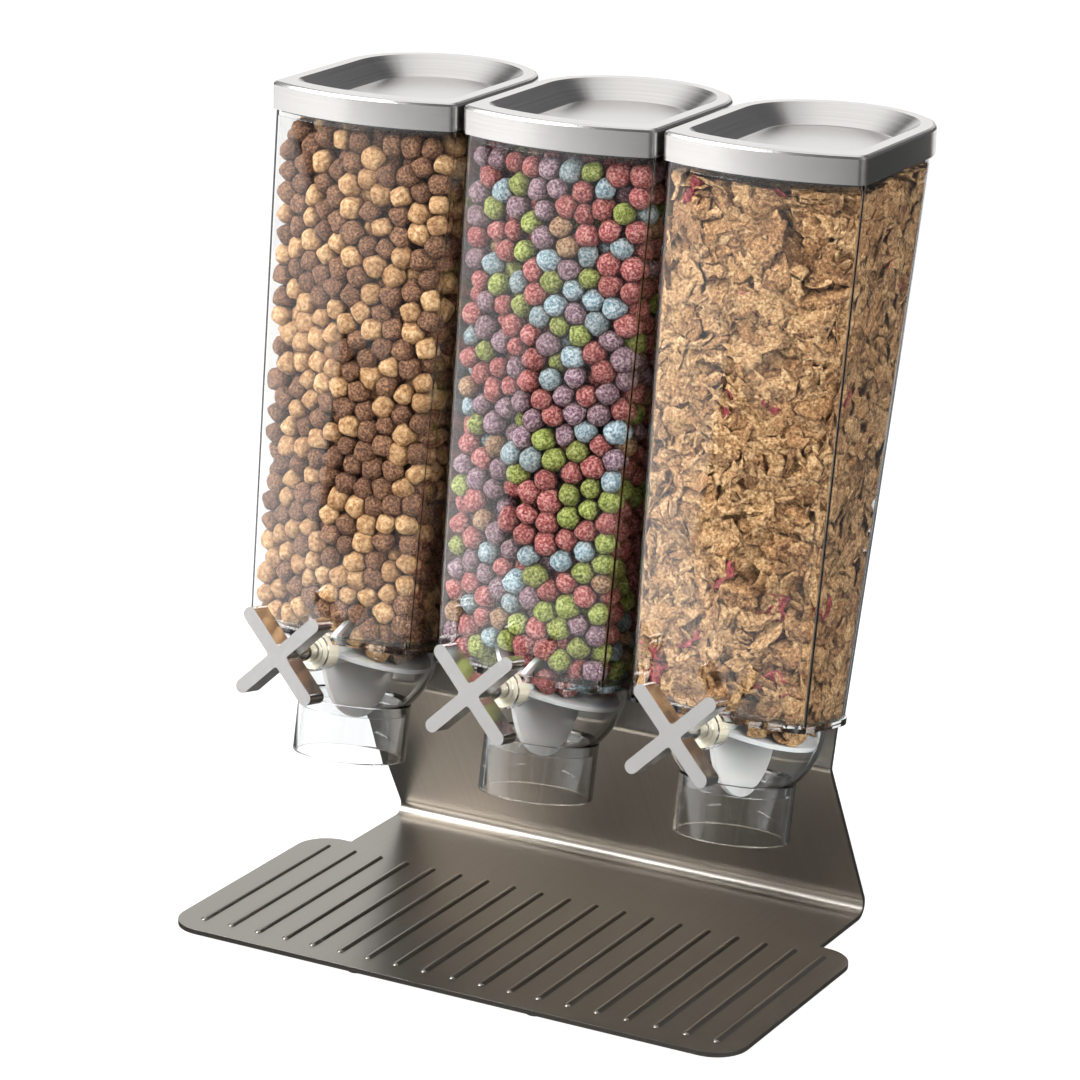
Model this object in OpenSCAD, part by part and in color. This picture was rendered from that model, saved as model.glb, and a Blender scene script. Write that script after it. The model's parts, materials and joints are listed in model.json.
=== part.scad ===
// Counter-top cereal dispenser: three clear tapered hoppers hung on one bent
// steel stand. Each hopper has a lift-off dished steel lid, a round bowl with a
// soft five-blade portion wheel turned by a cross knob, and a clear spout.
// Millimetres, +Z up, the knobs face -Y, X runs left to right.

/* [Stand] */
// Width of the tray plate
tray_width = 380; // [340:1:420]
// Depth of the tray plate from its front edge to its rear shoulders
tray_depth = 172; // [150:1:200]
// Corner radius of the tray plate
tray_corner = 21; // [5:1:35]
// Width of the folded back panel
panel_width = 327; // [280:1:360]
// Thickness of the steel sheet
sheet = 3; // [2:0.1:4]
// How far the lower part of the back panel leans forward, degrees
lower_lean = 29.2; // [20:0.1:35]
// How far the upper part of the back panel leans back, degrees
upper_lean = 14.2; // [8:0.1:20]
// Distance from the tray's front edge to the fold of the tray and the panel
fold_y = 237.9; // [210:0.1:260]
// Height of the panel's forward fold above the tray surface
knee_z = 110; // [90:1:130]
// Height of the panel's top edge above the tray surface
panel_top = 418; // [350:1:450]
// Thickness of the rubber pads under the tray
foot_height = 2; // [1:0.1:6]

/* [Tray ribs] */
// Number of raised ribs pressed into the tray
rib_count = 19; // [9:2:23]
// Distance from rib to rib
rib_pitch = 19.14; // [15:0.01:22]
// Length of a rib between the centres of its round ends
rib_length = 140; // [100:1:150]
// Height of a rib above the tray
rib_rise = 1.2; // [0.5:0.1:1.5]

/* [Hoppers] */
// Distance from hopper to hopper
pitch = 130; // [128:0.5:140]
// Lean of the hopper's own axis, degrees
tilt = 11.6; // [5:0.1:18]
// Distance from the tray's front edge to the centre of a bowl
bowl_y = 127.4; // [110:0.1:140]
// Height of the centre of a bowl above the tray surface
bowl_z = 151; // [130:0.1:170]
// Wall thickness of a hopper
wall = 2.5; // [2:0.1:4]
// Half width of a hopper at its foot
foot_half = 56.2; // [50:0.1:58]
// Half width of a hopper at its shoulder
top_half = 61.65; // [58:0.05:62]
// Height of the hopper's shoulder above the tray surface
shoulder_z = 475.3; // [400:0.1:480]
// Height of the neck that the lid sits over
neck_height = 12; // [6:0.5:14]

/* [Bowls and spouts] */
// Outer radius of a bowl
bowl_r = 47.7; // [44:0.1:50]
// Inner radius of a bowl
bowl_ri = 45.2; // [42:0.1:47]
// Outer radius of a spout
spout_r = 34.5; // [30:0.1:36]
// Depth of the spout's lower edge below the bowl's centre
spout_drop = 68.7; // [55:0.1:80]

/* [Portion wheels] */
// Radius of the soft blades
blade_r = 44.5; // [40:0.1:44.7]
// Thickness of a blade
blade_t = 2.6; // [1.5:0.1:3.5]
// Number of blades
blade_count = 5; // [4:1:6]
// Angle of the first blade, degrees
blade_start = -12; // [-30:1:30]
// Diameter of the shaft inside the wheel and the bearings
shaft_d = 8; // [6:0.1:10]
// Diameter of the bright part of the shaft behind the knob
collar_d = 11; // [9:0.1:13]

/* [Knobs] */
// Distance from the knob's axis to the centre of an arm's round end
knob_reach = 30.5; // [24:0.1:34]
// Width of a knob arm
arm_width = 8.4; // [6:0.1:11]
// Radius of the inner corners between the knob's arms
knob_fillet = 2; // [1:0.5:4]
// Thickness of the knob
knob_t = 15.6; // [10:0.1:18]
// Distance from the bowl's centre to the knob's front face
knob_face = 98.3; // [85:0.1:105]

/* [Lids] */
// Half width of a lid
lid_half = 63.25; // [60:0.05:64]
// Height of a lid from the edge of its skirt to its rim
lid_height = 16.5; // [12:0.1:20]
// Depth of the dish in a lid
dish_depth = 11; // [6:0.1:13]
// Thickness of the lid's steel
lid_sheet = 0.8; // [0.5:0.1:1.2]

/* [Hidden] */

$fn = 64;
tray_top = foot_height + sheet;          // height of the tray surface
lid_front = 112.1;                       // front of a lid, at its middle
lid_rear = 264.1;                        // rear of a lid
y_shift = -lid_rear/2;                   // puts the box centre at Y = 0
lid_z = shoulder_z + 0.3;                // edge of the skirt, above the tray
fold_r = 6;                              // inner radius of the rear fold
knee_r = 7;                              // outer radius of the forward fold
hook_s = [80, 285];                      // hook heights along the upper panel
hook_lift = 14;                          // lift that frees a hook
stud_r = 3;
slot_r = stud_r + 0.3;
flange_w = 5.6;                          // underside of the bowl's flange
flange_t = 3.9;
foot_w = flange_w + flange_t;            // where a hopper stands on the flange
step_w = -33.4;                          // joint of the bowl and the spout
seal_r = 10.8;
big = 400;

function arc(c, r, a0, a1, n) =
    [for (i = [0:n]) let (t = a0 + (a1 - a0)*i/n) [c[0] + r*cos(t), c[1] + r*sin(t)]];

// D outline: half width a, bowed front at yf, round back at yr
function dee(a, yf, rf, yr, rb, rc, rk, t = 0) =
    let (A = a - t, F = rf - t, B = rb - t, C = rc - t, K = max(rk - t, 0.8),
         cf = [0, yf + rf], kx = A - K,
         kf = [kx, cf[1] - sqrt((F - K)*(F - K) - kx*kx)],
         af = atan2(kf[1] - cf[1], kx),
         cb = [0, yr - rb], mx = A - C,
         kr = [mx, cb[1] + sqrt((B - C)*(B - C) - mx*mx)],
         ar = atan2(kr[1] - cb[1], mx))
    concat(arc(kf, K, af, 0, 5), arc(kr, C, 0, ar, 7), arc(cb, B, ar, 180 - ar, 8),
           arc([-mx, kr[1]], C, 180 - ar, 180, 7), arc([-kx, kf[1]], K, 180, 180 - af, 5),
           [for (i = [1:7]) let (g = (180 - af) + (180 + 2*af)*i/8) [F*cos(g), cf[1] + F*sin(g)]]);

// outlines at the hopper's foot, at its shoulder and at the lid, inset by t
module foot_d(t = 0) polygon(dee(foot_half, -53.3, 145.4, 53, 64, 41, 6, t));
module top_d(t = 0)  polygon(dee(top_half, lid_front + 1.7, 164.4, lid_rear - 1.5, 71, 45, 6.5, t));
module lid_d(t = 0)  polygon(dee(lid_half, lid_front, 165, lid_rear, 72, 46, 7, t));
module dish_d(t = 0) polygon(dee(53.8, 124.6, 150, 255.6, 63, 38, 12, t));

// frames: level keeps the tray's directions, bowl follows the leaning axis,
// panel follows the upper part of the back panel
module level(i) translate([(i - 1)*pitch, y_shift, tray_top]) children();
module bowl(i) level(i) translate([0, bowl_y, bowl_z]) rotate([-tilt, 0, 0]) children();
module panel(i) translate([(i - 1)*pitch, y_shift + knee_y, tray_top + knee_z]) rotate([-upper_lean, 0, 0]) children();
knee_y = fold_y - knee_z*tan(lower_lean);

// ---- stand ----
lo = [-sin(lower_lean), cos(lower_lean)];
up = [sin(upper_lean), cos(upper_lean)];
turn1 = 90 + lower_lean;
turn2 = lower_lean + upper_lean;
c1 = [fold_y - fold_r*tan(turn1/2), fold_r];
k0 = [knee_y, knee_z] - knee_r*tan(turn2/2)*lo;
c2 = k0 + knee_r*[lo[1], -lo[0]];
top_len = (panel_top - knee_z)/cos(upper_lean);
front_face = concat([[tray_depth - 20, 0]],
    [for (i = [0:12]) let (g = turn1*i/12) c1 + fold_r*[sin(g), -cos(g)]],
    [for (i = [0:6]) let (g = lower_lean - turn2*i/6) c2 - knee_r*[cos(g), sin(g)]],
    [[knee_y, knee_z] + top_len*up]);
rear_face = concat([[knee_y, knee_z] + top_len*up + sheet*[up[1], -up[0]]],
    [for (i = [6:-1:0]) let (g = lower_lean - turn2*i/6) c2 - (knee_r - sheet)*[cos(g), sin(g)]],
    [for (i = [12:-1:0]) let (g = turn1*i/12) c1 + (fold_r + sheet)*[sin(g), -cos(g)]],
    [[tray_depth - 20, -sheet]]);

module rounded(w, y0, y1, r) {
    translate([-w/2, y0 + r]) square([w, y1 - y0 - 2*r]);
    translate([-w/2 + r, y0]) square([w - 2*r, y1 - y0]);
    for (x = [-1, 1], y = [y0 + r, y1 - r]) translate([x*(w/2 - r), y]) circle(r);
}

module rib(r, z, keep) intersection() {
    union() {
        translate([0, 0, z]) rotate([-90, 0, 0]) cylinder(r = r, h = rib_length, $fn = 32);
        for (y = [0, rib_length]) translate([0, y, z]) sphere(r, $fn = 32);
    }
    translate([-5, -5, keep]) cube([10, rib_length + 10, 4]);
}

module stand_plate() color([0.62, 0.6, 0.57]) difference() {
    union() {
        translate([0, y_shift, foot_height]) linear_extrude(sheet) {
            rounded(tray_width, 0, tray_depth, tray_corner);
            translate([-panel_width/2, tray_depth - 30]) square([panel_width, 20 + 12]);
        }
        translate([-panel_width/2, y_shift, tray_top]) rotate([90, 0, 90])
            linear_extrude(panel_width) polygon(concat(front_face, rear_face));
        for (i = [0:rib_count - 1])
            translate([(i - (rib_count - 1)/2)*rib_pitch, y_shift + 17.5, tray_top])
                rib(3, rib_rise - 3, -1);
    }
    for (i = [0:rib_count - 1])
        translate([(i - (rib_count - 1)/2)*rib_pitch, y_shift + 17.5, tray_top])
            rib(2, 0.9 - sheet - 2, -sheet - 3);
    // rounded upper corners of the panel
    panel(1) for (x = [-1, 1]) translate([x*(panel_width/2 - 22), -2, top_len - 22]) rotate([-90, 0, 0])
        difference() {
            translate([x > 0 ? 0 : -30, -30, 0]) cube([30, 30, sheet + 4]);
            translate([0, 0, -1]) cylinder(r = 22, h = sheet + 6);
        }
    // keyholes for the hoppers
    for (i = [0:2], s = hook_s) panel(i) translate([0, -2, s]) rotate([-90, 0, 0]) {
        cylinder(r = slot_r, h = sheet + 4);
        translate([-slot_r, -hook_lift, 0]) cube([2*slot_r, hook_lift, sheet + 4]);
        translate([0, -hook_lift, 0]) cylinder(r = 6.3, h = sheet + 4);
    }
}

module foot_pads() color([0.1, 0.1, 0.1])
    for (p = [[165, 24], [165, 148], [60, 9], [140, 212]], x = [-1, 1])
        translate([x*p[0], p[1] + y_shift, 0]) cylinder(r = p[1] < 10 ? 6 : 8, h = foot_height);

// ---- hopper ----
module hopper(i) color([0.85, 0.9, 0.92, 0.4]) difference() {
    union() {
        hull() {
            bowl(i) translate([0, 0, foot_w]) linear_extrude(0.02) foot_d();
            level(i) translate([0, 0, shoulder_z - 0.02]) linear_extrude(0.02) top_d();
        }
        level(i) translate([0, 0, shoulder_z - 4]) linear_extrude(4 + neck_height) top_d(1.3);
        // flat pads that carry the hook plates
        for (s = hook_s) panel(i) translate([-15, -12, s - 15]) cube([30, 10.2, 30]);
    }
    hull() {
        bowl(i) translate([0, 0, foot_w - 0.5]) linear_extrude(0.02) foot_d(wall);
        level(i) translate([0, 0, shoulder_z - 4.02]) linear_extrude(0.02) top_d(wall + 0.3);
    }
    level(i) translate([0, 0, shoulder_z - 4.2]) linear_extrude(neck_height + 10) top_d(wall + 0.8);
    for (s = hook_s) panel(i) translate([0, -7, s]) rotate([-90, 0, 0]) cylinder(r = stud_r, h = 10);
}

module hook_plates(i) color([0.7, 0.7, 0.7]) for (s = hook_s) panel(i) difference() {
    translate([-15, -1.8, s - 15]) cube([30, 1.5, 30]);
    translate([0, -3, s]) rotate([-90, 0, 0]) cylinder(r = stud_r, h = 6);
}

module hook_studs(i) color([0.75, 0.75, 0.75]) for (s = hook_s) panel(i) translate([0, 0, s]) rotate([-90, 0, 0]) {
    translate([0, 0, -6.8]) cylinder(r = stud_r, h = sheet + 7.3);
    translate([0, 0, sheet + 0.4]) cylinder(r = 5.4, h = 2);
}

// ---- bowl with its flange and bearings ----
module housing(i) color([0.85, 0.9, 0.92, 0.4]) bowl(i) difference() {
    union() {
        translate([0, 0, flange_w]) linear_extrude(flange_t) foot_d(-1.2);
        translate([0, 0, foot_w - 0.1]) linear_extrude(3.1) difference() { foot_d(wall + 0.3); foot_d(wall + 2.1); }
        intersection() {
            sphere(bowl_r, $fn = 96);
            translate([-50, -50, step_w]) cube([100, 100, flange_w - step_w + 1]);
        }
        translate([0, 0, step_w - 7]) cylinder(r = spout_r - 2.8, h = 9);
        rotate([90, 0, 0]) translate([0, 0, 42]) cylinder(r = 12.2, h = 17.6);
        rotate([90, 0, 0]) rotate_extrude() translate([7.2, 59.4]) circle(1.1, $fn = 24);
        rotate([-90, 0, 0]) translate([0, 0, 42]) cylinder(r = 9, h = 11);
    }
    sphere(bowl_ri, $fn = 96);
    cylinder(r = bowl_ri, h = 30);
    translate([0, 0, step_w - 8]) cylinder(r = 29.4, h = 20);
    rotate([90, 0, 0]) translate([0, 0, 40]) cylinder(r = seal_r + 0.1, h = 18);
    rotate([90, 0, 0]) translate([0, 0, 50]) cylinder(r = collar_d/2 + 0.4, h = 20);
    rotate([-90, 0, 0]) translate([0, 0, 40]) cylinder(r = 6.2, h = 11);
    translate([-15, -53.9, foot_w - 0.1]) cube([30, 10, 10]);
}

module spout(i) color([0.85, 0.9, 0.92, 0.4]) bowl(i) difference() {
    translate([0, 0, -spout_drop]) cylinder(r = spout_r, h = spout_drop + step_w);
    translate([0, 0, -spout_drop - 1]) cylinder(r = spout_r - 2.6, h = spout_drop);
}

module front_seal(i) color([0.92, 0.88, 0.78]) bowl(i) difference() {
    rotate([90, 0, 0]) translate([0, 0, 45.3]) cylinder(r = seal_r, h = 12.6);
    rotate([90, 0, 0]) translate([0, 0, 40]) cylinder(r = shaft_d/2 + 0.05, h = 30);
    // flat under the hopper's front wall
    translate([-15, -53.9, foot_w - 0.1]) cube([30, 10, 10]);
}

module rear_bearing(i) color([0.9, 0.9, 0.88]) bowl(i) rotate([-90, 0, 0]) difference() {
    translate([0, 0, 45.3]) cylinder(r = 6.1, h = 5.6);
    translate([0, 0, 40]) cylinder(r = shaft_d/2 + 0.05, h = 30);
}

// ---- turning parts ----
module shaft(i) color([0.8, 0.8, 0.8]) bowl(i) rotate([90, 0, 0]) {
    translate([0, 0, -50.5]) cylinder(r = shaft_d/2, h = 50.5 + knob_face - 4);
    translate([0, 0, 58.4]) cylinder(r = collar_d/2, h = knob_face - knob_t - 58.4);
}

module portion_wheel(i) color([0.95, 0.95, 0.94]) bowl(i) difference() {
    union() {
        rotate([90, 0, 0]) translate([0, 0, -43.6]) cylinder(r = 9.5, h = 87.2);
        for (k = [0:blade_count - 1]) rotate([0, -blade_start + k*360/blade_count, 0])
            translate([0, 0, -blade_t/2]) intersection() {
                cylinder(r = blade_r, h = blade_t, $fn = 96);
                translate([0, -50, -1]) cube([50, 100, blade_t + 2]);
            }
    }
    rotate([90, 0, 0]) translate([0, 0, -60]) cylinder(r = shaft_d/2, h = 120);
}

module cross() {
    for (a = [45, 135]) rotate(a) {
        translate([-knob_reach, -arm_width/2]) square([2*knob_reach, arm_width]);
        for (x = [-1, 1]) translate([x*knob_reach, 0]) circle(arm_width/2);
    }
    for (a = [0:90:270]) rotate(a) difference() {
        rotate(-45) square(arm_width/2 + knob_fillet);
        translate([(arm_width/2 + knob_fillet)*sqrt(2), 0]) circle(knob_fillet, $fn = 32);
    }
}

module knob(i) color([0.82, 0.82, 0.82]) bowl(i) difference() {
    rotate([90, 0, 0]) translate([0, 0, knob_face - knob_t]) linear_extrude(knob_t) cross();
    rotate([90, 0, 0]) translate([0, 0, knob_face - knob_t - 1]) cylinder(r = shaft_d/2, h = knob_t - 3);
    translate([0, -knob_face + knob_t/2, -12]) cylinder(r = 1.5, h = 12, $fn = 32);
}

// The screw ends 0.08 mm inside the lower inner corner of the knob and touches the shaft.
module knob_screw(i) color([0.4, 0.4, 0.4]) bowl(i) difference() {
    outer = (arm_width/2 + knob_fillet)*sqrt(2) - knob_fillet - 0.08;
    translate([0, -knob_face + knob_t/2, -outer]) cylinder(r = 1.5, h = outer - shaft_d/2, $fn = 32);
    translate([0, -knob_face + knob_t/2, -outer - 1]) cylinder(r = 0.75, h = 2.2, $fn = 6);
}

// ---- lid ----
module lid_shell(i) color([0.8, 0.8, 0.8]) level(i) translate([0, 0, lid_z]) {
    difference() {
        union() {
            linear_extrude(lid_height - 2) lid_d();
            hull() {
                translate([0, 0, lid_height - 2.02]) linear_extrude(0.02) lid_d();
                translate([0, 0, lid_height - 0.7]) linear_extrude(0.02) lid_d(0.8);
                translate([0, 0, lid_height - 0.02]) linear_extrude(0.02) lid_d(2.2);
            }
        }
        translate([0, 0, -1]) linear_extrude(lid_height + 1 - 2.2) lid_d(lid_sheet);
        translate([0, 0, lid_height - 3.5]) linear_extrude(3.5 - lid_sheet) lid_d(2.4);
        translate([0, 0, -1]) linear_extrude(lid_height + 5) dish_d(0);
    }
    difference() {
        hull() {
            translate([0, 0, lid_height - 0.02]) linear_extrude(0.02) dish_d(-0.9);
            translate([0, 0, lid_height - dish_depth - lid_sheet]) linear_extrude(0.02) dish_d(13.6);
        }
        hull() {
            translate([0, 0, lid_height + 0.01]) linear_extrude(0.02) dish_d(0);
            translate([0, 0, lid_height - dish_depth]) linear_extrude(0.02) dish_d(14.5);
        }
    }
}

module lid_liner(i) color([0.3, 0.3, 0.3]) level(i) translate([0, 0, lid_z]) difference() {
    translate([0, 0, -2.2]) linear_extrude(lid_height - lid_sheet + 2.2) lid_d(6);
    translate([0, 0, 0.2]) linear_extrude(lid_height) lid_d(8);
    translate([0, 0, 1.4]) linear_extrude(3.2) difference() { lid_d(5); lid_d(7); }
}

module lid_gasket(i) color([0.15, 0.15, 0.15]) level(i) translate([0, 0, lid_z + 1.4])
    linear_extrude(3.2) difference() { lid_d(5.2); lid_d(7); }

module left_hopper() hopper(0);
module left_housing() housing(0);
module left_spout() spout(0);
module left_front_seal() front_seal(0);
module left_rear_bearing() rear_bearing(0);
module left_hook_plates() hook_plates(0);
module left_hook_studs() hook_studs(0);
module left_shaft() shaft(0);
module left_portion_wheel() portion_wheel(0);
module left_knob() knob(0);
module left_knob_screw() knob_screw(0);
module left_lid_shell() lid_shell(0);
module left_lid_liner() lid_liner(0);
module left_lid_gasket() lid_gasket(0);
module middle_hopper() hopper(1);
module middle_housing() housing(1);
module middle_spout() spout(1);
module middle_front_seal() front_seal(1);
module middle_rear_bearing() rear_bearing(1);
module middle_hook_plates() hook_plates(1);
module middle_hook_studs() hook_studs(1);
module middle_shaft() shaft(1);
module middle_portion_wheel() portion_wheel(1);
module middle_knob() knob(1);
module middle_knob_screw() knob_screw(1);
module middle_lid_shell() lid_shell(1);
module middle_lid_liner() lid_liner(1);
module middle_lid_gasket() lid_gasket(1);
module right_hopper() hopper(2);
module right_housing() housing(2);
module right_spout() spout(2);
module right_front_seal() front_seal(2);
module right_rear_bearing() rear_bearing(2);
module right_hook_plates() hook_plates(2);
module right_hook_studs() hook_studs(2);
module right_shaft() shaft(2);
module right_portion_wheel() portion_wheel(2);
module right_knob() knob(2);
module right_knob_screw() knob_screw(2);
module right_lid_shell() lid_shell(2);
module right_lid_liner() lid_liner(2);
module right_lid_gasket() lid_gasket(2);

stand_plate();
foot_pads();
left_hopper();
left_housing();
left_spout();
left_front_seal();
left_rear_bearing();
left_hook_plates();
left_hook_studs();
left_shaft();
left_portion_wheel();
left_knob();
left_knob_screw();
left_lid_shell();
left_lid_liner();
left_lid_gasket();
middle_hopper();
middle_housing();
middle_spout();
middle_front_seal();
middle_rear_bearing();
middle_hook_plates();
middle_hook_studs();
middle_shaft();
middle_portion_wheel();
middle_knob();
middle_knob_screw();
middle_lid_shell();
middle_lid_liner();
middle_lid_gasket();
right_hopper();
right_housing();
right_spout();
right_front_seal();
right_rear_bearing();
right_hook_plates();
right_hook_studs();
right_shaft();
right_portion_wheel();
right_knob();
right_knob_screw();
right_lid_shell();
right_lid_liner();
right_lid_gasket();
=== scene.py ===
import itertools
import json
import math

import bmesh
import bpy
import numpy as np
from mathutils import Matrix, Vector


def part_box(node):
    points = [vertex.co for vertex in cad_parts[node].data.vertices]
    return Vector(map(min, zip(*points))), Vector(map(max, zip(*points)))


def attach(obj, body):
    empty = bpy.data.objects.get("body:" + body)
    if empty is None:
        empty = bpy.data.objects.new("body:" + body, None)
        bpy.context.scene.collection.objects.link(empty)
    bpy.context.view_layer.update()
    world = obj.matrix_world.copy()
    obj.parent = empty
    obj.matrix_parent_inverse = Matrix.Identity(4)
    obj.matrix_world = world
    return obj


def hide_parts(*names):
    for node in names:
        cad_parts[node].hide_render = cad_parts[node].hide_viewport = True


# Visual model of the triple cereal dispenser. All lengths are in metres, except where a name ends in _MM.
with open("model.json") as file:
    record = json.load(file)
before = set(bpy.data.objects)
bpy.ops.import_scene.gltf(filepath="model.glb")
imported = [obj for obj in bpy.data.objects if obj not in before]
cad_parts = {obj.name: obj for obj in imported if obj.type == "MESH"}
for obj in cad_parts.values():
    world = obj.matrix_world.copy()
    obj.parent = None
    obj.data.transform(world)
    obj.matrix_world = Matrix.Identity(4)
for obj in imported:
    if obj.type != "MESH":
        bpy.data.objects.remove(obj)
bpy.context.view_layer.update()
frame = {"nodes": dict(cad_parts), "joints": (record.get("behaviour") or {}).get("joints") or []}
SIDES = ("left", "middle", "right")


def wheel_centre(side):
    return np.array(next(j["pos_m"] for j in frame["joints"] if j["name"] == side + "_knob_turn"))


HUB = {side: wheel_centre(side) for side in SIDES}
TILT = math.radians(11.6)           # lean of the hoppers and bowls
BLADE_START = math.radians(-12)     # angle of the first blade
BLADE_STEP = 72                     # degrees from one blade to the next
SWEEP = 0.0446                      # radius of the ball that the turning blades sweep
POCKET_REACH = 0.0441               # radius of the ball that holds the food in a wheel
HUB_RADIUS = 0.0096
BLADE_HALF = 0.0015                 # half of a blade's thickness
SHOULDER = 0.4803                   # where a hopper's straight wall ends
ROW_MIDDLE = 0.13205                # Y of the frame's middle, in the part's own coordinates
SKIN = 0.0003                       # gap between food and the walls or blades


# ---- small helpers ----
def obj_from(name, verts, faces, smooth=True):
    me = bpy.data.meshes.new(name)
    me.from_pydata([tuple(v) for v in verts], [], faces)
    me.update()
    if smooth:
        me.polygons.foreach_set("use_smooth", [True] * len(me.polygons))
    ob = bpy.data.objects.new(name, me)
    bpy.context.scene.collection.objects.link(ob)
    return ob


def noise3(p, seed, scale):
    """Smooth seeded value at each point, mostly between -1 and 1: the sum of a few fixed sine waves."""
    rng = np.random.default_rng(seed)
    k = rng.normal(0, 1, (7, 3)) * scale
    return np.sin(p @ k.T + rng.uniform(0, 6.28, 7)).sum(-1) / 4.0


def from_bowl(side, p):
    """Bowl frame (x, v along the shaft, w up the leaning axis) to the row frame."""
    c, s = math.cos(TILT), math.sin(TILT)
    p = np.asarray(p, float)
    x, v, w = p[..., 0], p[..., 1], p[..., 2]
    return HUB[side] + np.stack([x, v * c + w * s, w * c - v * s], -1)


def to_bowl(side, p):
    c, s = math.cos(TILT), math.sin(TILT)
    q = np.asarray(p, float) - HUB[side]
    return np.stack([q[..., 0], q[..., 1] * c - q[..., 2] * s, q[..., 1] * s + q[..., 2] * c], -1)


# ---- nodes ----
def material(name):
    m = bpy.data.materials.new(name)
    m.use_nodes = True
    nt = m.node_tree
    return m, nt, nt.nodes["Principled BSDF"]


def coords(nt, scale=(1, 1, 1)):
    tc = nt.nodes.new("ShaderNodeTexCoord")
    mp = nt.nodes.new("ShaderNodeMapping")
    mp.inputs["Scale"].default_value = scale
    nt.links.new(tc.outputs["Object"], mp.inputs["Vector"])
    return mp.outputs["Vector"]


def noise(nt, scale, fineness=5.0, detail=4.0, rough=0.6):
    n = nt.nodes.new("ShaderNodeTexNoise")
    n.inputs["Scale"].default_value = fineness
    n.inputs["Detail"].default_value = detail
    n.inputs["Roughness"].default_value = rough
    nt.links.new(coords(nt, scale), n.inputs["Vector"])
    return n.outputs["Fac"]


def ramp(nt, fac, stops):
    r = nt.nodes.new("ShaderNodeValToRGB")
    while len(r.color_ramp.elements) < len(stops):
        r.color_ramp.elements.new(0.5)
    for e, (pos, col) in zip(r.color_ramp.elements, stops):
        e.position, e.color = pos, (*col, 1)
    nt.links.new(fac, r.inputs["Fac"])
    return r.outputs["Color"]


def spread(nt, fac, low, high):
    """Maps the middle part of a noise to the values from low to high."""
    r = nt.nodes.new("ShaderNodeMapRange")
    r.inputs["From Min"].default_value, r.inputs["From Max"].default_value = 0.3, 0.7
    r.inputs["To Min"].default_value, r.inputs["To Max"].default_value = low, high
    nt.links.new(fac, r.inputs["Value"])
    return r.outputs["Result"]


def bump(nt, b, fac, strength, distance):
    n = nt.nodes.new("ShaderNodeBump")
    n.inputs["Strength"].default_value = strength
    n.inputs["Distance"].default_value = distance
    nt.links.new(fac, n.inputs["Height"])
    nt.links.new(n.outputs["Normal"], b.inputs["Normal"])


def math_node(nt, operation, a, b):
    n = nt.nodes.new("ShaderNodeMath")
    n.operation = operation
    for socket, value in zip(n.inputs, (a, b)):
        if isinstance(value, (int, float)):
            socket.default_value = value
        else:
            nt.links.new(value, socket)
    return n.outputs[0]


def dot_with(nt, vector, direction):
    n = nt.nodes.new("ShaderNodeVectorMath")
    n.operation = "DOT_PRODUCT"
    n.inputs[1].default_value = direction
    nt.links.new(vector, n.inputs[0])
    return n.outputs["Value"]


def switch(nt, fac, off, on):
    """Shader output that is off where fac is 0 and on where it is 1."""
    mix = nt.nodes.new("ShaderNodeMixShader")
    nt.links.new(fac, mix.inputs["Fac"])
    nt.links.new(off, mix.inputs[1])
    nt.links.new(on, mix.inputs[2])
    nt.links.new(mix.outputs["Shader"], nt.nodes["Material Output"].inputs["Surface"])


# ---- materials ----
def steel(name, dark, light, rough, grain, depth=0.000004, strength=0.2):
    """Brushed steel. grain is the noise scale along X, Y and Z: low along the brushing, high across it."""
    m, nt, b = material(name)
    b.inputs["Metallic"].default_value = 1.0
    streak = noise(nt, grain, 1.0, 3.0, 0.55)
    nt.links.new(ramp(nt, streak, [(0.3, dark), (0.7, light)]), b.inputs["Base Color"])
    nt.links.new(spread(nt, streak, rough[0], rough[1]), b.inputs["Roughness"])
    bump(nt, b, streak, strength, depth)
    return m


def polished(name, colour, rough):
    m, nt, b = material(name)
    b.inputs["Metallic"].default_value = 1.0
    b.inputs["Base Color"].default_value = (*colour, 1)
    nt.links.new(spread(nt, noise(nt, (1, 1, 1), 260.0), rough, rough + 0.06), b.inputs["Roughness"])
    return m


def plastic(name, dark, light, rough, grain=900.0, sub=0.0):
    m, nt, b = material(name)
    n = noise(nt, (1, 1, 1), grain)
    nt.links.new(ramp(nt, n, [(0.3, dark), (0.7, light)]), b.inputs["Base Color"])
    nt.links.new(spread(nt, n, rough, rough + 0.12), b.inputs["Roughness"])
    b.inputs["Subsurface Weight"].default_value = sub
    b.inputs["Subsurface Scale"].default_value = 0.004
    bump(nt, b, n, 0.15, 0.00005)
    return m


def clear(name, tint):
    """Clear moulded plastic with faint waviness and haze, which lets shadow rays through."""
    m, nt, b = material(name)
    b.inputs["Base Color"].default_value = (*tint, 1)
    b.inputs["IOR"].default_value = 1.49
    b.inputs["Transmission Weight"].default_value = 1.0
    b.inputs["Specular IOR Level"].default_value = 0.34
    nt.links.new(spread(nt, noise(nt, (1, 1, 1), 45.0), 0.0, 0.012), b.inputs["Roughness"])
    bump(nt, b, noise(nt, (1, 1, 1), 18.0, 1.0), 0.03, 0.0003)
    path = nt.nodes.new("ShaderNodeLightPath")
    thru = nt.nodes.new("ShaderNodeBsdfTransparent")
    thru.inputs["Color"].default_value = (0.93, 0.94, 0.94, 1)
    switch(nt, path.outputs["Is Shadow Ray"], b.outputs["BSDF"], thru.outputs["BSDF"])
    return m


# colours that the vertex value multiplies the food by: dark brown painted shade at 0, up to white (no change)
# at 1
PAINTED_SHADE_AND_TONE_RAMP = [(0.0, (0.14, 0.085, 0.055)), (0.5, (0.62, 0.55, 0.49)), (1.0, (1.0, 1.0, 1.0))]


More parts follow.
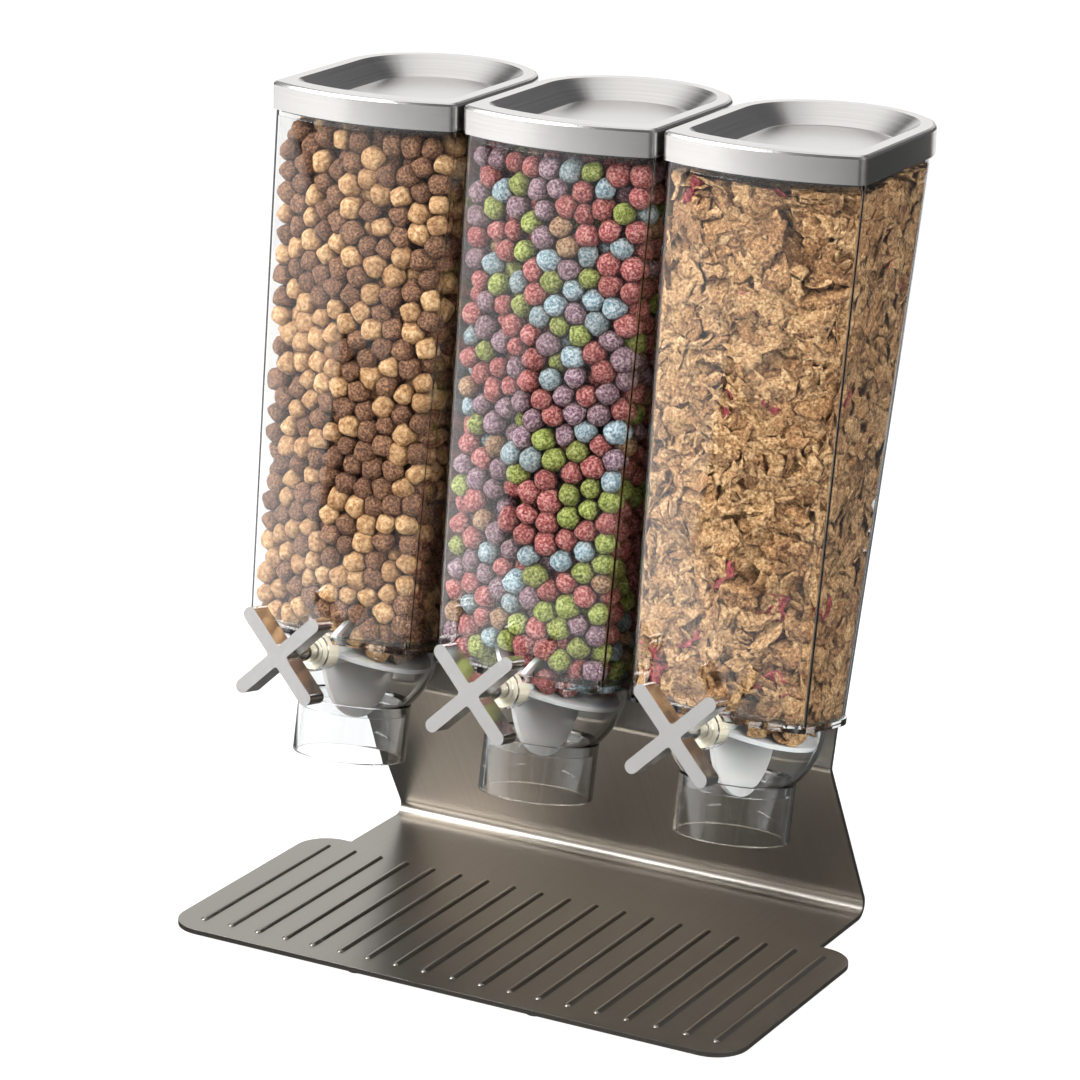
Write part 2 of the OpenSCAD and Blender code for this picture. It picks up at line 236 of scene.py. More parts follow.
def food(name, dark, mid, light, grain, depth, gloss=0.75, spots=(0.39, 0.5, 0.62)):
    """Baked cereal: mottled colour, pitted surface. The vertex value named shade holds each
    piece's own tone times a painted shade, darkest where its neighbours are near, so the gaps are painted
    dark."""
    m, nt, b = material(name)
    n = noise(nt, (1, 1, 1), grain, 6.0, 0.72)
    shade = nt.nodes.new("ShaderNodeAttribute")
    shade.attribute_name = "shade"
    # multiplies the mottled colour by the painted shade and tone held at each vertex
    tint = nt.nodes.new("ShaderNodeMix")
    tint.data_type, tint.blend_type = "RGBA", "MULTIPLY"
    tint.inputs["Factor"].default_value = 1.0
    nt.links.new(ramp(nt, n, list(zip(spots, (dark, mid, light)))), tint.inputs["A"])
    nt.links.new(ramp(nt, shade.outputs["Fac"], PAINTED_SHADE_AND_TONE_RAMP), tint.inputs["B"])
    nt.links.new(tint.outputs["Result"], b.inputs["Base Color"])
    nt.links.new(spread(nt, n, gloss, gloss - 0.2), b.inputs["Roughness"])
    bump(nt, b, n, 1.0, depth)
    return m


STAND = steel("stand_brushed", (0.305, 0.281, 0.251), (0.35, 0.324, 0.293), (0.28, 0.34),
              (1700, 9, 9), 0.0000015, 0.05)
LID = steel("lid_brushed", (0.60, 0.585, 0.568), (0.67, 0.655, 0.638), (0.20, 0.26),
            (6, 6, 1300), 0.000003, 0.06)
KNOB = steel("knob_satin", (0.79, 0.775, 0.755), (0.83, 0.815, 0.80), (0.15, 0.21),
             (420, 420, 420), 0.000002)
SHAFT = polished("shaft_polished", (0.72, 0.71, 0.69), 0.08)
PLATE = steel("plate_plain", (0.50, 0.50, 0.49), (0.62, 0.61, 0.60), (0.28, 0.4), (500, 500, 60))
SCREW = polished("screw_dark", (0.16, 0.16, 0.16), 0.3)
CLEAR = clear("clear_plastic", (0.95, 0.96, 0.96))
SILICONE = plastic("white_silicone", (0.72, 0.72, 0.71), (0.80, 0.80, 0.79), 0.42, 700.0, 0.25)
IVORY = plastic("ivory_bush", (0.74, 0.66, 0.50), (0.82, 0.75, 0.60), 0.35)
LINER = plastic("liner_grey", (0.055, 0.05, 0.047), (0.085, 0.08, 0.075), 0.45)
GASKET = plastic("gasket_grey", (0.08, 0.08, 0.08), (0.12, 0.12, 0.12), 0.6)
RUBBER = plastic("pad_rubber", (0.015, 0.015, 0.015), (0.035, 0.035, 0.035), 0.75)


# ---- CAD parts shown with softened edges, each standing for its own node ----
SAME_POINT = 1e-6                   # points nearer than this are merged
SAME_FACE = math.radians(0.4)       # faces that meet flatter than this are joined
ROUNDED = math.radians(38)          # edges sharper than this are rounded
SAME_HEIGHT = 0.00008


def softened(node, body, mat, width, segments=2, fillets=(), smooth=35):
    """fillets are pairs of a height and a share of the width. Where there are any, only level edges
    at these heights are rounded."""
    src = frame["nodes"][node]
    ob = bpy.data.objects.new(node + "_soft", src.data.copy())
    bpy.context.scene.collection.objects.link(ob)
    bm = bmesh.new()
    bm.from_mesh(ob.data)
    bmesh.ops.remove_doubles(bm, verts=bm.verts, dist=SAME_POINT)
    bmesh.ops.dissolve_limit(bm, angle_limit=SAME_FACE, verts=bm.verts, edges=bm.edges)
    bm.to_mesh(ob.data)
    bm.free()
    ob.data.materials.clear()
    ob.data.materials.append(mat)
    if ob.data.has_custom_normals:
        bpy.context.view_layer.objects.active = ob
        bpy.ops.mesh.customdata_custom_splitnormals_clear()
    ob.data.polygons.foreach_set("use_smooth", [True] * len(ob.data.polygons))
    ob.data.set_sharp_from_angle(angle=math.radians(smooth))
    bev = ob.modifiers.new("edge", "BEVEL")
    bev.width, bev.segments = width, segments
    bev.limit_method, bev.angle_limit = "ANGLE", ROUNDED
    bev.use_clamp_overlap, bev.harden_normals = True, True
    if fillets:
        weight = ob.data.attributes.new("bevel_weight_edge", "FLOAT", "EDGE")
        z = [v.co.z for v in ob.data.vertices]
        for e in ob.data.edges:
            a, b = e.vertices
            share = next((w for h, w in fillets if max(abs(z[a] - h), abs(z[b] - h)) < SAME_HEIGHT), 0.0)
            weight.data[e.index].value = share
        bev.limit_method = "WEIGHT"
    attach(ob, body)
    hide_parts(node)


def kept(node, mat):
    """A CAD node whose mesh is right as it is, with a better material."""
    me = frame["nodes"][node].data
    me.materials.clear()
    me.materials.append(mat)


softened("stand_plate", "stand", STAND, 0.0005)
kept("foot_pads", RUBBER)
for s in SIDES:
    softened(s + "_hopper", s + "_container", CLEAR, 0.0008)
    softened(s + "_housing", s + "_container", CLEAR, 0.0005)
    softened(s + "_spout", s + "_container", CLEAR, 0.0009, 3)
    lid_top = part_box(s + "_lid_shell")[1][2]
    lid_fillets = [(lid_top - 0.011, 1.0), (lid_top, 0.2)]
    softened(s + "_lid_shell", s + "_lid", LID, 0.0042, 4, lid_fillets, 25)
    softened(s + "_knob", s + "_wheel", KNOB, 0.0009, 3)
    softened(s + "_portion_wheel", s + "_wheel", SILICONE, 0.0007)
    softened(s + "_shaft", s + "_wheel", SHAFT, 0.0004)
    kept(s + "_front_seal", IVORY)
    kept(s + "_rear_bearing", IVORY)
    kept(s + "_hook_plates", PLATE)
    kept(s + "_hook_studs", PLATE)
    kept(s + "_knob_screw", SCREW)
    kept(s + "_lid_liner", LINER)
    kept(s + "_lid_gasket", GASKET)


# ---- room inside a hopper: outlines as in the part, inset to the inner wall ----
# half width, front, front radius, rear, rear radius, rear corner radius, front corner radius, wall
FOOT_OUTLINE_MM = (56.2, -53.3, 145.4, 53, 64, 41, 6, 2.9)
TOP_OUTLINE_MM = (61.65, 113.8, 164.4, 262.6, 71, 45, 6.5, 3.3)
FOOT_HEIGHT = 0.0098                # height of the hopper's foot in the bowl frame
TOP_GAP = 0.006                     # the food ends this far below the shoulder


def arc(cx, cy, r, a0, a1, n):
    a = np.linspace(a0, a1, n + 1)
    return np.stack([cx + r * np.cos(a), cy + r * np.sin(a)], -1)


def dee(half, front, front_r, rear, rear_r, rear_corner, front_corner, wall):
    """D-shaped outline, given in millimetres and returned in metres, inset by the wall."""
    side, front_in, rear_in = half - wall, front_r - wall, rear_r - wall
    back_in, nose_in = rear_corner - wall, max(front_corner - wall, 0.8)
    front_y, rear_y = front + front_r, rear - rear_r
    nose_x, back_x = side - nose_in, side - back_in
    nose_y = front_y - math.sqrt((front_in - nose_in) ** 2 - nose_x * nose_x)
    back_y = rear_y + math.sqrt((rear_in - back_in) ** 2 - back_x * back_x)
    turn = math.atan2(back_y - rear_y, back_x)
    right_half = np.concatenate([
        arc(nose_x, nose_y, nose_in, math.atan2(nose_y - front_y, nose_x), 0, 5),
        arc(back_x, back_y, back_in, 0, turn, 7),
        arc(0, rear_y, rear_in, turn, math.pi / 2, 5),
    ])
    front_mid = np.array([[0, front_y - front_in]])
    return np.concatenate([front_mid, right_half, right_half[::-1] * [-1, 1]]) / 1000


def cavity(side):
    """Half-spaces n.p <= d that bound the food inside a hopper."""
    foot = dee(*FOOT_OUTLINE_MM)
    top = dee(*TOP_OUTLINE_MM)
    low = from_bowl(side, np.c_[foot, np.full(len(foot), FOOT_HEIGHT)])
    high = np.c_[top[:, 0] + HUB[side][0], top[:, 1] - ROW_MIDDLE, np.full(len(top), SHOULDER - TOP_GAP)]
    bm = bmesh.new()
    for p in np.r_[low, high]:
        bm.verts.new(p)
    bmesh.ops.convex_hull(bm, input=bm.verts)
    planes = np.array([[*f.normal, f.normal.dot(f.verts[0].co)] for f in bm.faces])
    centre = np.r_[low, high].mean(0)
    flip = np.sign(planes[:, 3] - planes[:, :3] @ centre)
    bm.free()
    return planes * flip[:, None]


# ---- packing ----
NEAR = 2.9                          # pieces are neighbours within this many radii
SEARCH_EVERY = 8                    # rounds from one search for neighbours to the next
SEARCH_BLOCK = 400                  # pieces searched at a time
PUSH = 0.42                         # share of an overlap that each piece gives way in a round
START_POINTS = 60000
UNIT_BALL = 4.18879                 # volume of a ball of radius 1
POCKET_HALF = math.radians(BLADE_STEP / 2)
POCKETS = [BLADE_START + math.radians(BLADE_STEP / 2 + BLADE_STEP * k) for k in (0, 1, 2)]
POCKET_MIDDLE = 0.027               # distance of a pocket's middle from the shaft


def settle(pts, radius, project, rounds=110):
    """Pushes overlapping pieces apart and back into their room, until they lie packed."""
    for k in range(rounds):
        if k % SEARCH_EVERY == 0:
            i, j = [], []
            for a in range(0, len(pts), SEARCH_BLOCK):
                d = np.linalg.norm(pts[a:a + SEARCH_BLOCK, None] - pts[None], axis=-1)
                p, q = np.nonzero(d < NEAR * radius)
                once = p + a < q
                i.append(p[once] + a)
                j.append(q[once])
            i, j = np.concatenate(i), np.concatenate(j)
        v = pts[i] - pts[j]
        d = np.linalg.norm(v, axis=1) + 1e-9
        push = np.clip(2 * radius - d, 0, None)[:, None] * v / d[:, None] * PUSH
        np.add.at(pts, i, push)
        np.add.at(pts, j, -push)
        pts = project(pts)
    return pts


def into_hopper(side, planes, margin):
    """Moves points out of the blades' ball and inside the planes, with this margin to both."""
    def project(p):
        for _ in range(2):
            q = p - HUB[side]
            r = np.linalg.norm(q, axis=1, keepdims=True)
            p = np.where(r < SWEEP + margin, HUB[side] + q / r * (SWEEP + margin), p)
            for n in planes:
                over = np.clip(p @ n[:3] - n[3] + margin, 0, None)
                p = p - over[:, None] * n[:3]
        return p
    return project


def into_pocket(side, middle, margin):
    """A pocket of the wheel, between two blades, outside the hub and inside the swept ball."""
    a = [middle - POCKET_HALF, middle + POCKET_HALF]
    normals = [(-math.sin(a[0]), math.cos(a[0])), (math.sin(a[1]), -math.cos(a[1]))]
    least, most = HUB_RADIUS + margin, POCKET_REACH - margin

    def project(p):
        q = to_bowl(side, p)
        for _ in range(3):
            for nx, nw in normals:
                short = np.clip(BLADE_HALF + margin - (q[:, 0] * nx + q[:, 2] * nw), 0, None)
                q = q + short[:, None] * np.array([nx, 0, nw])
            r = np.hypot(q[:, 0], q[:, 2])[:, None]
            outward = q * [1, 0, 1] / np.maximum(r, 1e-6) * least
            q = np.where(r < least, outward + q * [0, 1, 0], q)
            r = np.linalg.norm(q, axis=1, keepdims=True)
            q = np.where(r > most, q / r * most, q)
        return from_bowl(side, q)
    return project


def start_hopper(side, planes, radius, fill, rng):
    """Random points inside a hopper: as many as fill this share of it with pieces of this radius."""
    shift = [HUB[side][0], 0, 0]
    lo = np.array([-0.062, -0.075, 0.15]) + shift
    hi = np.array([0.062, 0.14, SHOULDER]) + shift
    p = rng.uniform(lo, hi, (START_POINTS, 3))
    walls = (p @ planes[:, :3].T < planes[:, 3] - 0.0005).all(1)
    inside = walls & (np.linalg.norm(p - HUB[side], axis=1) > SWEEP)
    room = inside.mean() * np.prod(hi - lo)
    return p[inside][: int(fill * room / (UNIT_BALL * radius ** 3))]


def start_pocket(side, angle, across, along, count, rng):
    """Random points around a pocket's middle."""
    return from_bowl(side, np.stack([
        POCKET_MIDDLE * math.cos(angle) + rng.uniform(-across, across, count),
        rng.uniform(-along, along, count),
        POCKET_MIDDLE * math.sin(angle) + rng.uniform(-across, across, count),
    ], -1))


def depth_of(p, planes):
    return (planes[:, 3] - p @ planes[:, :3].T).min(1)


# ---- shapes of single pieces of cereal ----
def cube_ball(n, square):
    """Unit ball on a cube grid; square from 0 (ball) to 1 (cube) with rounded corners."""
    verts, faces, index = [], [], {}
    g = np.linspace(-1, 1, n + 1)
    e = 2 + 2.6 * square
    for axis, sign in itertools.product(range(3), (-1, 1)):
        grid = {}
        for i, j in itertools.product(range(n + 1), repeat=2):
            p = np.zeros(3)
            p[axis] = sign
            p[(axis + 1) % 3] = math.tan(g[i] * math.pi / 4)
            p[(axis + 2) % 3] = math.tan(g[j] * math.pi / 4)
            key = tuple(np.round(p, 5))
            if key not in index:
                index[key] = len(verts)
                verts.append(p / (np.abs(p) ** e).sum() ** (1 / e))
            grid[i, j] = index[key]
        for i, j in itertools.product(range(n), repeat=2):
            f = [grid[i, j], grid[i + 1, j], grid[i + 1, j + 1], grid[i, j + 1]]
            faces.append(f if sign > 0 else f[::-1])
    return np.array(verts), np.array(faces)


def turns(n, rng):
    """n random rotation matrices."""
    q = rng.normal(0, 1, (n, 4))
    q /= np.linalg.norm(q, axis=1, keepdims=True)
    w, x, y, z = q.T
    rows = (
        (1 - 2 * (y * y + z * z), 2 * (x * y - z * w), 2 * (x * z + y * w)),
        (2 * (x * y + z * w), 1 - 2 * (x * x + z * z), 2 * (y * z - x * w)),
        (2 * (x * z - y * w), 2 * (y * z + x * w), 1 - 2 * (x * x + y * y)),
    )
    return np.stack([np.stack(row, -1) for row in rows], -2)


def painted_gap_shade(verts, pts, own, radius):
    """Amount of painted shade at the points of a piece: 0 where open to the light, 1 where it meets its
    neighbours.
    """
    d = np.linalg.norm(pts - pts[own], axis=1)
    near = pts[(d < NEAR * radius) & (d > 1e-9)]
    gap = np.linalg.norm(verts[:, None] - near[None], axis=-1) - radius
    return np.clip(np.exp(-np.clip(gap, 0, None) / (0.15 * radius)).sum(1), 0, 1)


def cereal_object(name, body, verts, faces, shade, mat):
    ob = obj_from(name, verts, faces)
    ob.data.materials.append(mat)
    values = ob.data.attributes.new("shade", "FLOAT", "POINT").data
    values.foreach_set("value", np.asarray(shade, np.float32))
    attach(ob, body)


def puffs(name, body, pts, rooms, deep, mats, weights, radius, square, rough, seed):
    """Puffed pieces, one object for each colour. rooms[k] keeps piece k off walls and blades, and
    deep pieces get fewer faces."""
    rng = np.random.default_rng(seed)
    tone = rng.uniform(0.62, 1.0, len(pts))
    kind = rng.choice(len(mats), len(pts), p=weights)
    rot = turns(len(pts), rng)
    size = rng.uniform(0.9, 1.06, len(pts))
    stretch = rng.uniform(0.9, 1.07, (len(pts), 3))
    for c, mat in enumerate(mats):
        V, F, S, base = [], [], [], 0
        for far in (False, True):
            shape, quads = cube_ball(2 if far else 5, square)
            for k in np.nonzero((kind == c) & (deep == far))[0]:
                lumps = noise3(shape, seed * 7 + int(k), 2.6)
                pits = noise3(shape, seed * 13 + int(k), 6.0)
                bulge = np.clip(1 + rough * lumps + 0.5 * rough * pits, 0.82, 1.1)
                v = bulge[:, None] * shape * stretch[k] * radius * size[k]
                V.append(rooms[k](v @ rot[k].T + pts[k]))
                F.append(quads + base)
                # each piece's random tone, darkened by painted shade where its neighbours are near
                S.append(tone[k] * (1 - 0.92 * painted_gap_shade(V[-1], pts, k, radius)))
                base += len(shape)
        if V:
            cereal_object(f"{name}_{mat.name}", body, np.concatenate(V), np.concatenate(F).tolist(),
                          np.concatenate(S), mat)


FLAKE_RINGS = 5
FLAKE_SPOKES = 18
FLAKE_HALF = 0.035                  # half of a flake's thickness, as a share of its radius
FLAKE_SHAPES = 24                   # different flakes in one filling


def flake_shape(seed):
    """One crinkled flake with an uneven rim and a real thickness, about 1 across its radius."""
    rings, spokes = FLAKE_RINGS, FLAKE_SPOKES
    rng = np.random.default_rng(seed)
    a = np.linspace(0, 2 * math.pi, spokes, endpoint=False)
    two_waves = 0.16 * np.sin(2 * a + rng.uniform(0, 6))
    three_waves = 0.12 * np.sin(3 * a + rng.uniform(0, 6))
    rim = 1 + two_waves + three_waves + rng.normal(0, 0.13, spokes)
    spoke = np.stack([np.cos(a), np.sin(a)], -1)
    flat = [np.zeros((1, 2))] + [spoke * (rim * (r + 1) / rings)[:, None] for r in range(rings)]
    flat = np.concatenate(flat) * [1, rng.uniform(0.62, 0.95)]
    curl = rng.uniform(0.0, 0.22) * flat[:, 0] ** 2 - rng.uniform(0.0, 0.18) * flat[:, 1] ** 2
    folds = 0.12 * noise3(np.c_[flat, flat[:, :1] * 0], seed, 3.6)
    z = curl + folds + 0.04 * rng.normal(0, 1, len(flat))
    n = len(flat)
    top, under = np.c_[flat, z + FLAKE_HALF], np.c_[flat * 0.97, z - FLAKE_HALF]
    f = [[0, 1 + k, 1 + (k + 1) % spokes] for k in range(spokes)]
    for r in range(rings - 1):
        here, beyond = 1 + r * spokes, 1 + (r + 1) * spokes
        for k in range(spokes):
            after = (k + 1) % spokes
            f.append([here + k, beyond + k, beyond + after, here + after])
    e = 1 + (rings - 1) * spokes
    edge = [[e + k, n + e + k, n + e + (k + 1) % spokes, e + (k + 1) % spokes] for k in range(spokes)]
    # painted shade: darker where the folds dip below the curl, and the under face half as bright
    painted_fold_shade = np.clip(0.95 + 1.3 * (z - curl), 0.3, 1.0)
    faces = f + [[n + q for q in p[::-1]] for p in f] + edge
    return np.r_[top, under], faces, np.r_[painted_fold_shade, 0.5 * painted_fold_shade]


def flakes(name, body, pts, weights, project, lean, seed, open_to_light, low=0.0098, high=0.0165):
    """Flakes that mostly lie across their lean direction, one object for each colour."""
    rng = np.random.default_rng(seed)
    shapes = [flake_shape(seed * 31 + k) for k in range(FLAKE_SHAPES)]
    kind = rng.choice(len(FLAKES), len(pts), p=weights)
    for c, mat in enumerate(FLAKES):
        V, F, S, base = [], [], [], 0
        for k in np.nonzero(kind == c)[0]:
            shape, faces, painted_fold_shade = shapes[rng.integers(len(shapes))]
            z = lean[k] + np.array([0, 0, 0.45]) * rng.choice([-1, 1]) + rng.normal(0, 0.36, 3)
            z /= np.linalg.norm(z)
            x = np.cross(z, rng.normal(0, 1, 3))
            x /= np.linalg.norm(x)
            scale = rng.uniform(low, high) * (0.8 if "berry" in mat.name else 1.0)
            V.append(project((shape * scale) @ np.array([x, np.cross(z, x), z]) + pts[k]))
            F += [[q + base for q in f] for f in faces]
            # vertex value: painted shade from folds and under face, a random tone, and painted shade from how
            # far the flake lies from the light
            S.append(painted_fold_shade * rng.uniform(0.8, 1.0) * open_to_light(V[-1]))
            base += len(shape)
        if V:
            cereal_object(f"{name}_{mat.name}", body, np.concatenate(V), F, np.concatenate(S), mat)


# ---- colours of the cereal ----
def ball(name, dark, mid, light):
    return food(name, dark, mid, light, 620.0, 0.0020, 0.75, (0.41, 0.5, 0.585))


BEIGE = food("beige", (0.285, 0.127, 0.04), (0.545, 0.302, 0.124), (0.765, 0.54, 0.30), 420.0, 0.0014)
COCOA = food("cocoa", (0.070, 0.022, 0.008), (0.22, 0.090, 0.038), (0.50, 0.265, 0.128),
             700.0, 0.0020, 0.75, (0.41, 0.5, 0.6))
BALLS = [
    ball("red", (0.17, 0.017, 0.017), (0.44, 0.075, 0.072), (0.72, 0.40, 0.35)),
    ball("green", (0.088, 0.108, 0.006), (0.30, 0.365, 0.038), (0.58, 0.62, 0.25)),
    ball("blue", (0.10, 0.17, 0.215), (0.31, 0.435, 0.49), (0.66, 0.71, 0.73)),
    ball("mauve", (0.098, 0.034, 0.06), (0.255, 0.142, 0.186), (0.58, 0.43, 0.46)),
    ball("tan", (0.16, 0.06, 0.018), (0.385, 0.205, 0.096), (0.64, 0.46, 0.295)),
]
FLAKES = [
    food("bran", (0.185, 0.074, 0.02), (0.50, 0.272, 0.103), (0.76, 0.545, 0.305),
         560.0, 0.0012, 0.8, (0.36, 0.49, 0.62)),
    food("toast", (0.11, 0.038, 0.01), (0.355, 0.165, 0.053), (0.66, 0.415, 0.19),
         560.0, 0.0012, 0.8, (0.36, 0.49, 0.63)),
    food("berry", (0.13, 0.006, 0.009), (0.34, 0.018, 0.028), (0.56, 0.15, 0.135), 560.0, 0.0010, 0.6),
]


# ---- filling: food above the wheel rides on the container, food in the wheel's pockets turns with it ----
def fill_with_puffs(side, mats, weights, radius, square, rough, seed):
    rng = np.random.default_rng(seed)
    planes = cavity(side)
    reach = radius * 1.06
    pts = start_hopper(side, planes, radius, 0.66, rng)
    pts = settle(pts, radius, into_hopper(side, planes, reach))
    rooms = [into_hopper(side, planes, SKIN)] * len(pts)
    deep = depth_of(pts, planes) > 0.022
    puffs(side + "_cereal", side + "_container", pts, rooms, deep,
          mats, weights, radius, square, rough, seed)
    held, rooms = [], []
    for a in POCKETS:
        p = start_pocket(side, a, 0.01, 0.03, 17, rng)
        held.append(settle(p, radius, into_pocket(side, a, reach)))
        rooms += [into_pocket(side, a, SKIN)] * len(p)
    held = np.concatenate(held)
    deep = np.zeros(len(held), bool)
    puffs(side + "_portion", side + "_wheel", held, rooms, deep,
          mats, weights, radius, square, rough, seed + 1)


def heart(side, planes, seed):
    """The lumpy mass behind the outer flakes, painted dark as shade by an even low vertex value.
    Its points keep clear of the ball that the blades sweep.
    """
    inner = planes.copy()
    inner[:, 3] -= 0.013
    shape, quads = cube_ball(26, 0.6)
    v = shape * [0.075, 0.11, 0.15] + [HUB[side][0], 0.027, 0.36]
    v = into_hopper(side, inner, 0.0)(v)
    v = v + shape * noise3(v, seed, 340.0)[:, None] * 0.0022
    v = into_hopper(side, inner, -0.003)(v)
    off, clear_of = v - HUB[side], SWEEP + 0.005
    r = np.linalg.norm(off, axis=1, keepdims=True)
    v = np.where(r < clear_of, HUB[side] + off / r * clear_of, v)
    cereal_object(side + "_cereal_heart", side + "_container", v, quads.tolist(),
                  np.full(len(v), 0.12), FLAKES[1])


def fill_with_flakes(side, seed):
    rng = np.random.default_rng(seed)
    planes = cavity(side)

    # painted shade: flakes grow darker the deeper they lie behind the walls
    def lit_from_walls(v):
        return np.clip(1.14 - depth_of(v, planes) / 0.0115, 0.03, 1)

    # painted shade: flakes in a pocket grow darker towards the shaft
    def lit_from_bowl(v):
        return np.clip(1.1 - (POCKET_REACH - np.linalg.norm(v - HUB[side], axis=1)) / 0.011, 0.15, 1)

    pts = start_hopper(side, planes, 0.0047, 0.60, rng)
    pts = settle(pts, 0.0047, into_hopper(side, planes, 0.0028), 50)
    pts = pts[depth_of(pts, planes) < 0.019]
    lean = planes[(planes[:, 3] - pts @ planes[:, :3].T).argmin(1), :3]
    flakes(side + "_cereal", side + "_container", pts, [0.62, 0.35, 0.03],
           into_hopper(side, planes, 0.0004), lean, seed, lit_from_walls)
    for k, a in enumerate(POCKETS):
        p = start_pocket(side, a, 0.014, 0.036, 60, rng)
        p = settle(p, 0.0042, into_pocket(side, a, 0.003), 40)
        outward = (p - HUB[side]) / np.linalg.norm(p - HUB[side], axis=1, keepdims=True)
        flakes(f"{side}_portion{k}", side + "_wheel", p, [0.55, 0.42, 0.03],
               into_pocket(side, a, SKIN), outward, seed + k + 1, lit_from_bowl, 0.005, 0.0085)
    heart(side, planes, seed)


fill_with_puffs("left", [BEIGE, COCOA], [0.5, 0.5], 0.0063, 0.55, 0.05, 11)
fill_with_puffs("middle", BALLS, [0.38, 0.21, 0.15, 0.20, 0.06], 0.0067, 0.16, 0.085, 23)
fill_with_flakes("right", 37)


# ---- floor ----
# The floor is white to the camera, to rays that came straight through clear plastic, and wherever it lies
# behind the stand on the left. Steel and food otherwise meet a dark floor near the stand, a pale one from
# about 1.4 to 2.2 m out in front on the left, and a dark one again beyond about 3 m. Rays off a matt
# surface never meet the white.
FRONT_LEFT = (-0.125, -0.215, 0)
BEHIND_LEFT = (-0.9, 0.45, 0)
FLOOR_TONES = [
    (0.0, (0.12, 0.12, 0.12)),
    (0.08, (0.05, 0.048, 0.045)),
    (0.15, (0.07, 0.068, 0.065)),
    (0.36, (0.72, 0.72, 0.72)),
    (0.55, (0.72, 0.72, 0.72)),
    (0.8, (0.15, 0.15, 0.15)),
]
FLOOR_HALF = 9

floor, nt, b = material("floor_pale")
grey = ramp(nt, noise(nt, (1, 1, 1), 3.0), [(0.3, (0.25, 0.25, 0.25)), (0.7, (0.27, 0.27, 0.27))])
nt.links.new(grey, b.inputs["Base Color"])
b.inputs["Roughness"].default_value = 0.9
b.inputs["Emission Color"].default_value = (1, 1, 1, 1)
b.inputs["Emission Strength"].default_value = 0.94
forward = dot_with(nt, coords(nt), FRONT_LEFT)
dim = nt.nodes.new("ShaderNodeBsdfDiffuse")
nt.links.new(ramp(nt, forward, FLOOR_TONES), dim.inputs["Color"])
path = nt.nodes.new("ShaderNodeLightPath")
no_gloss = math_node(nt, "LESS_THAN", path.outputs["Glossy Depth"], 0.5)
straight = math_node(nt, "MULTIPLY", path.outputs["Is Transmission Ray"], no_gloss)
behind_left = math_node(nt, "GREATER_THAN", dot_with(nt, coords(nt), BEHIND_LEFT), 0.5)
no_matt = math_node(nt, "LESS_THAN", path.outputs["Diffuse Depth"], 0.5)
through = math_node(nt, "MULTIPLY", math_node(nt, "MAXIMUM", straight, behind_left), no_matt)
seen_white = math_node(nt, "MAXIMUM", path.outputs["Is Camera Ray"], through)
switch(nt, seen_white, dim.outputs["BSDF"], b.outputs["BSDF"])
corners = [(x * FLOOR_HALF, y * FLOOR_HALF, 0) for x, y in ((-1, -1), (1, -1), (1, 1), (-1, 1))]
ground = obj_from("floor", corners, [[0, 1, 2, 3]], False)
ground.data.materials.append(floor)


# ---- room and lamps ----
world = bpy.data.worlds.new("studio")
world.use_nodes = True
wt = world.node_tree
way = wt.nodes.new("ShaderNodeTexCoord")
ROOM_BASE = (0.11, 0.11, 0.115)


def card(direction, start, full, value):
    """A soft bright patch of the room around a direction."""
    toward = dot_with(wt, way.outputs["Generated"], direction)
    return ramp(wt, toward, [(start, ROOM_BASE), (full, (value, value, value))])


def lighter(a, b):
    mix = wt.nodes.new("ShaderNodeMix")
    mix.data_type, mix.blend_type = "RGBA", "LIGHTEN"
    mix.inputs["Factor"].default_value = 1.0
    wt.links.new(a, mix.inputs["A"])
    wt.links.new(b, mix.inputs["B"])
    return mix.outputs["Result"]


overhead = card((-0.33, 0.12, 0.93), 0.78, 0.95, 1.0)
back_left = card((-0.45, 0.84, 0.30), 0.90, 0.985, 0.92)
front_left = card((-0.45, -0.89, 0.03), 0.90, 0.985, 0.54)
room = lighter(lighter(overhead, back_left), front_left)
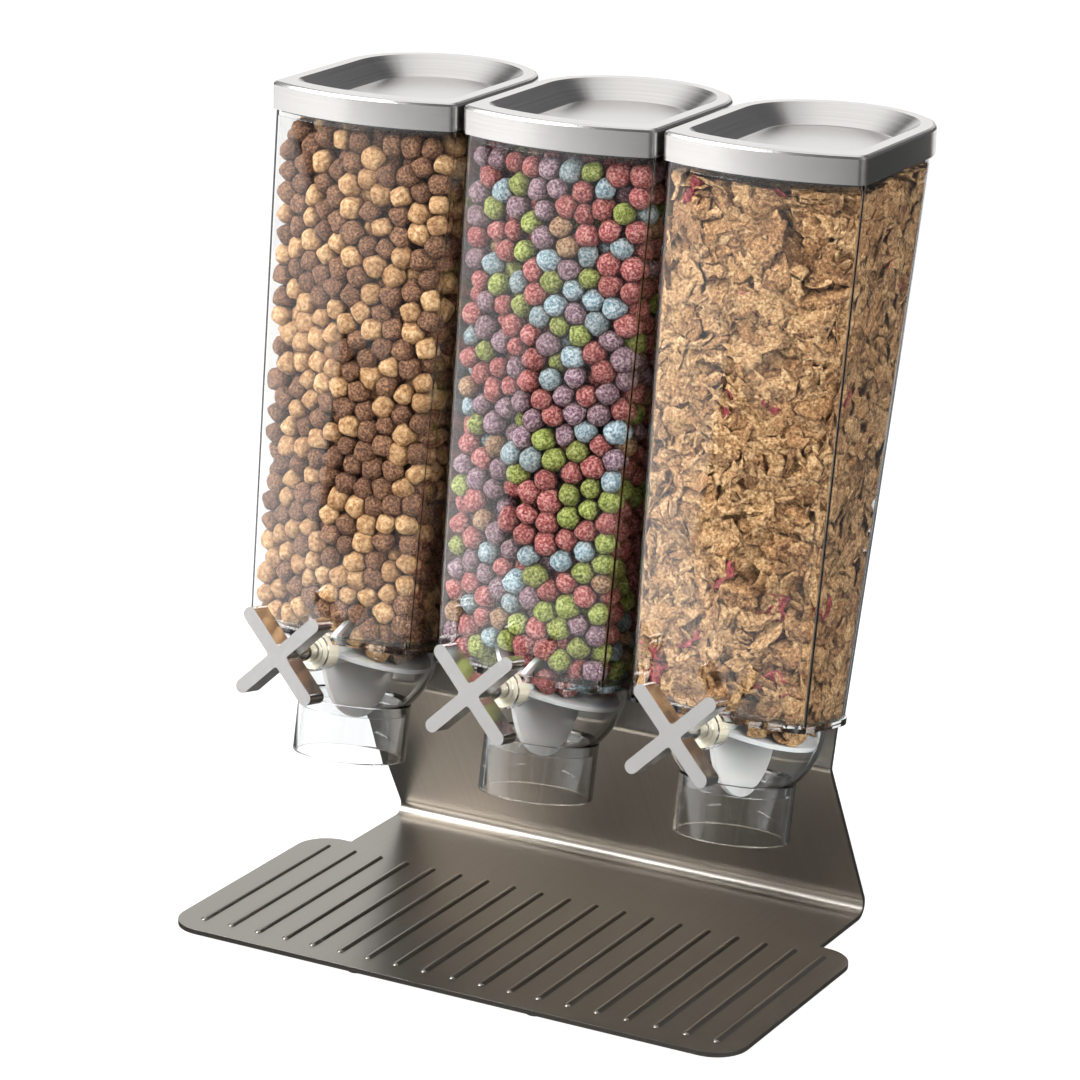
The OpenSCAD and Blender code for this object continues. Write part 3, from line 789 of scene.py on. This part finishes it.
# to the camera, the room is as white as the floor
room_path = wt.nodes.new("ShaderNodeLightPath")
backdrop = wt.nodes.new("ShaderNodeMix")
backdrop.data_type = "RGBA"
backdrop.inputs["B"].default_value = (1.6, 1.6, 1.6, 1)
wt.links.new(room_path.outputs["Is Camera Ray"], backdrop.inputs["Factor"])
wt.links.new(room, backdrop.inputs["A"])
wt.links.new(backdrop.outputs["Result"], wt.nodes["Background"].inputs["Color"])
# rays off shiny surfaces meet a brighter room than all others, so the food keeps its shadows
level = wt.nodes.new("ShaderNodeMapRange")
level.inputs["To Min"].default_value, level.inputs["To Max"].default_value = 0.66, 1.25
wt.links.new(room_path.outputs["Is Glossy Ray"], level.inputs["Value"])
wt.links.new(level.outputs["Result"], wt.nodes["Background"].inputs["Strength"])
bpy.context.scene.world = world
bpy.context.scene.view_settings.view_transform = "Standard"

LAMP_TARGET = (0, 0, 0.25)


def softbox(name, at, size, power):
    """A square lamp that faces the middle of the dispenser."""
    lamp = bpy.data.lights.new(name, "AREA")
    lamp.shape, lamp.size, lamp.size_y, lamp.energy = "RECTANGLE", size, size, power
    ob = bpy.data.objects.new(name, lamp)
    ob.location = at
    ob.rotation_euler = (Vector(LAMP_TARGET) - Vector(at)).to_track_quat("-Z", "Y").to_euler()
    bpy.context.scene.collection.objects.link(ob)


softbox("key", (-1.75, -1.6, 1.6), 1.75, 108)
softbox("fill", (2.2, -0.7, 1.2), 1.3, 46)


# ---- camera: turned round Z, then tipped down, then rolled ----
CAMERA_AT = (1.1116, -2.0666, 0.9708)
az, el, roll = map(math.radians, (28.4923, 17.2464, 1.1304))
right = Vector((math.cos(az), math.sin(az), 0))
ahead = Vector((-math.sin(az), math.cos(az), 0))
look = ahead * math.cos(el) - Vector((0, 0, math.sin(el)))
up = Vector((0, 0, math.cos(el))) + ahead * math.sin(el)
rolled_right = right * math.cos(roll) + up * math.sin(roll)
rolled_up = up * math.cos(roll) - right * math.sin(roll)
facing = Matrix((rolled_right, rolled_up, -look)).transposed().to_4x4()
cam = bpy.data.objects.new("camera", bpy.data.cameras.new("camera"))
cam.data.lens, cam.data.sensor_width = 138.81, 36.0
cam.matrix_world = Matrix.Translation(CAMERA_AT) @ facing
bpy.context.scene.collection.objects.link(cam)
bpy.context.scene.camera = cam
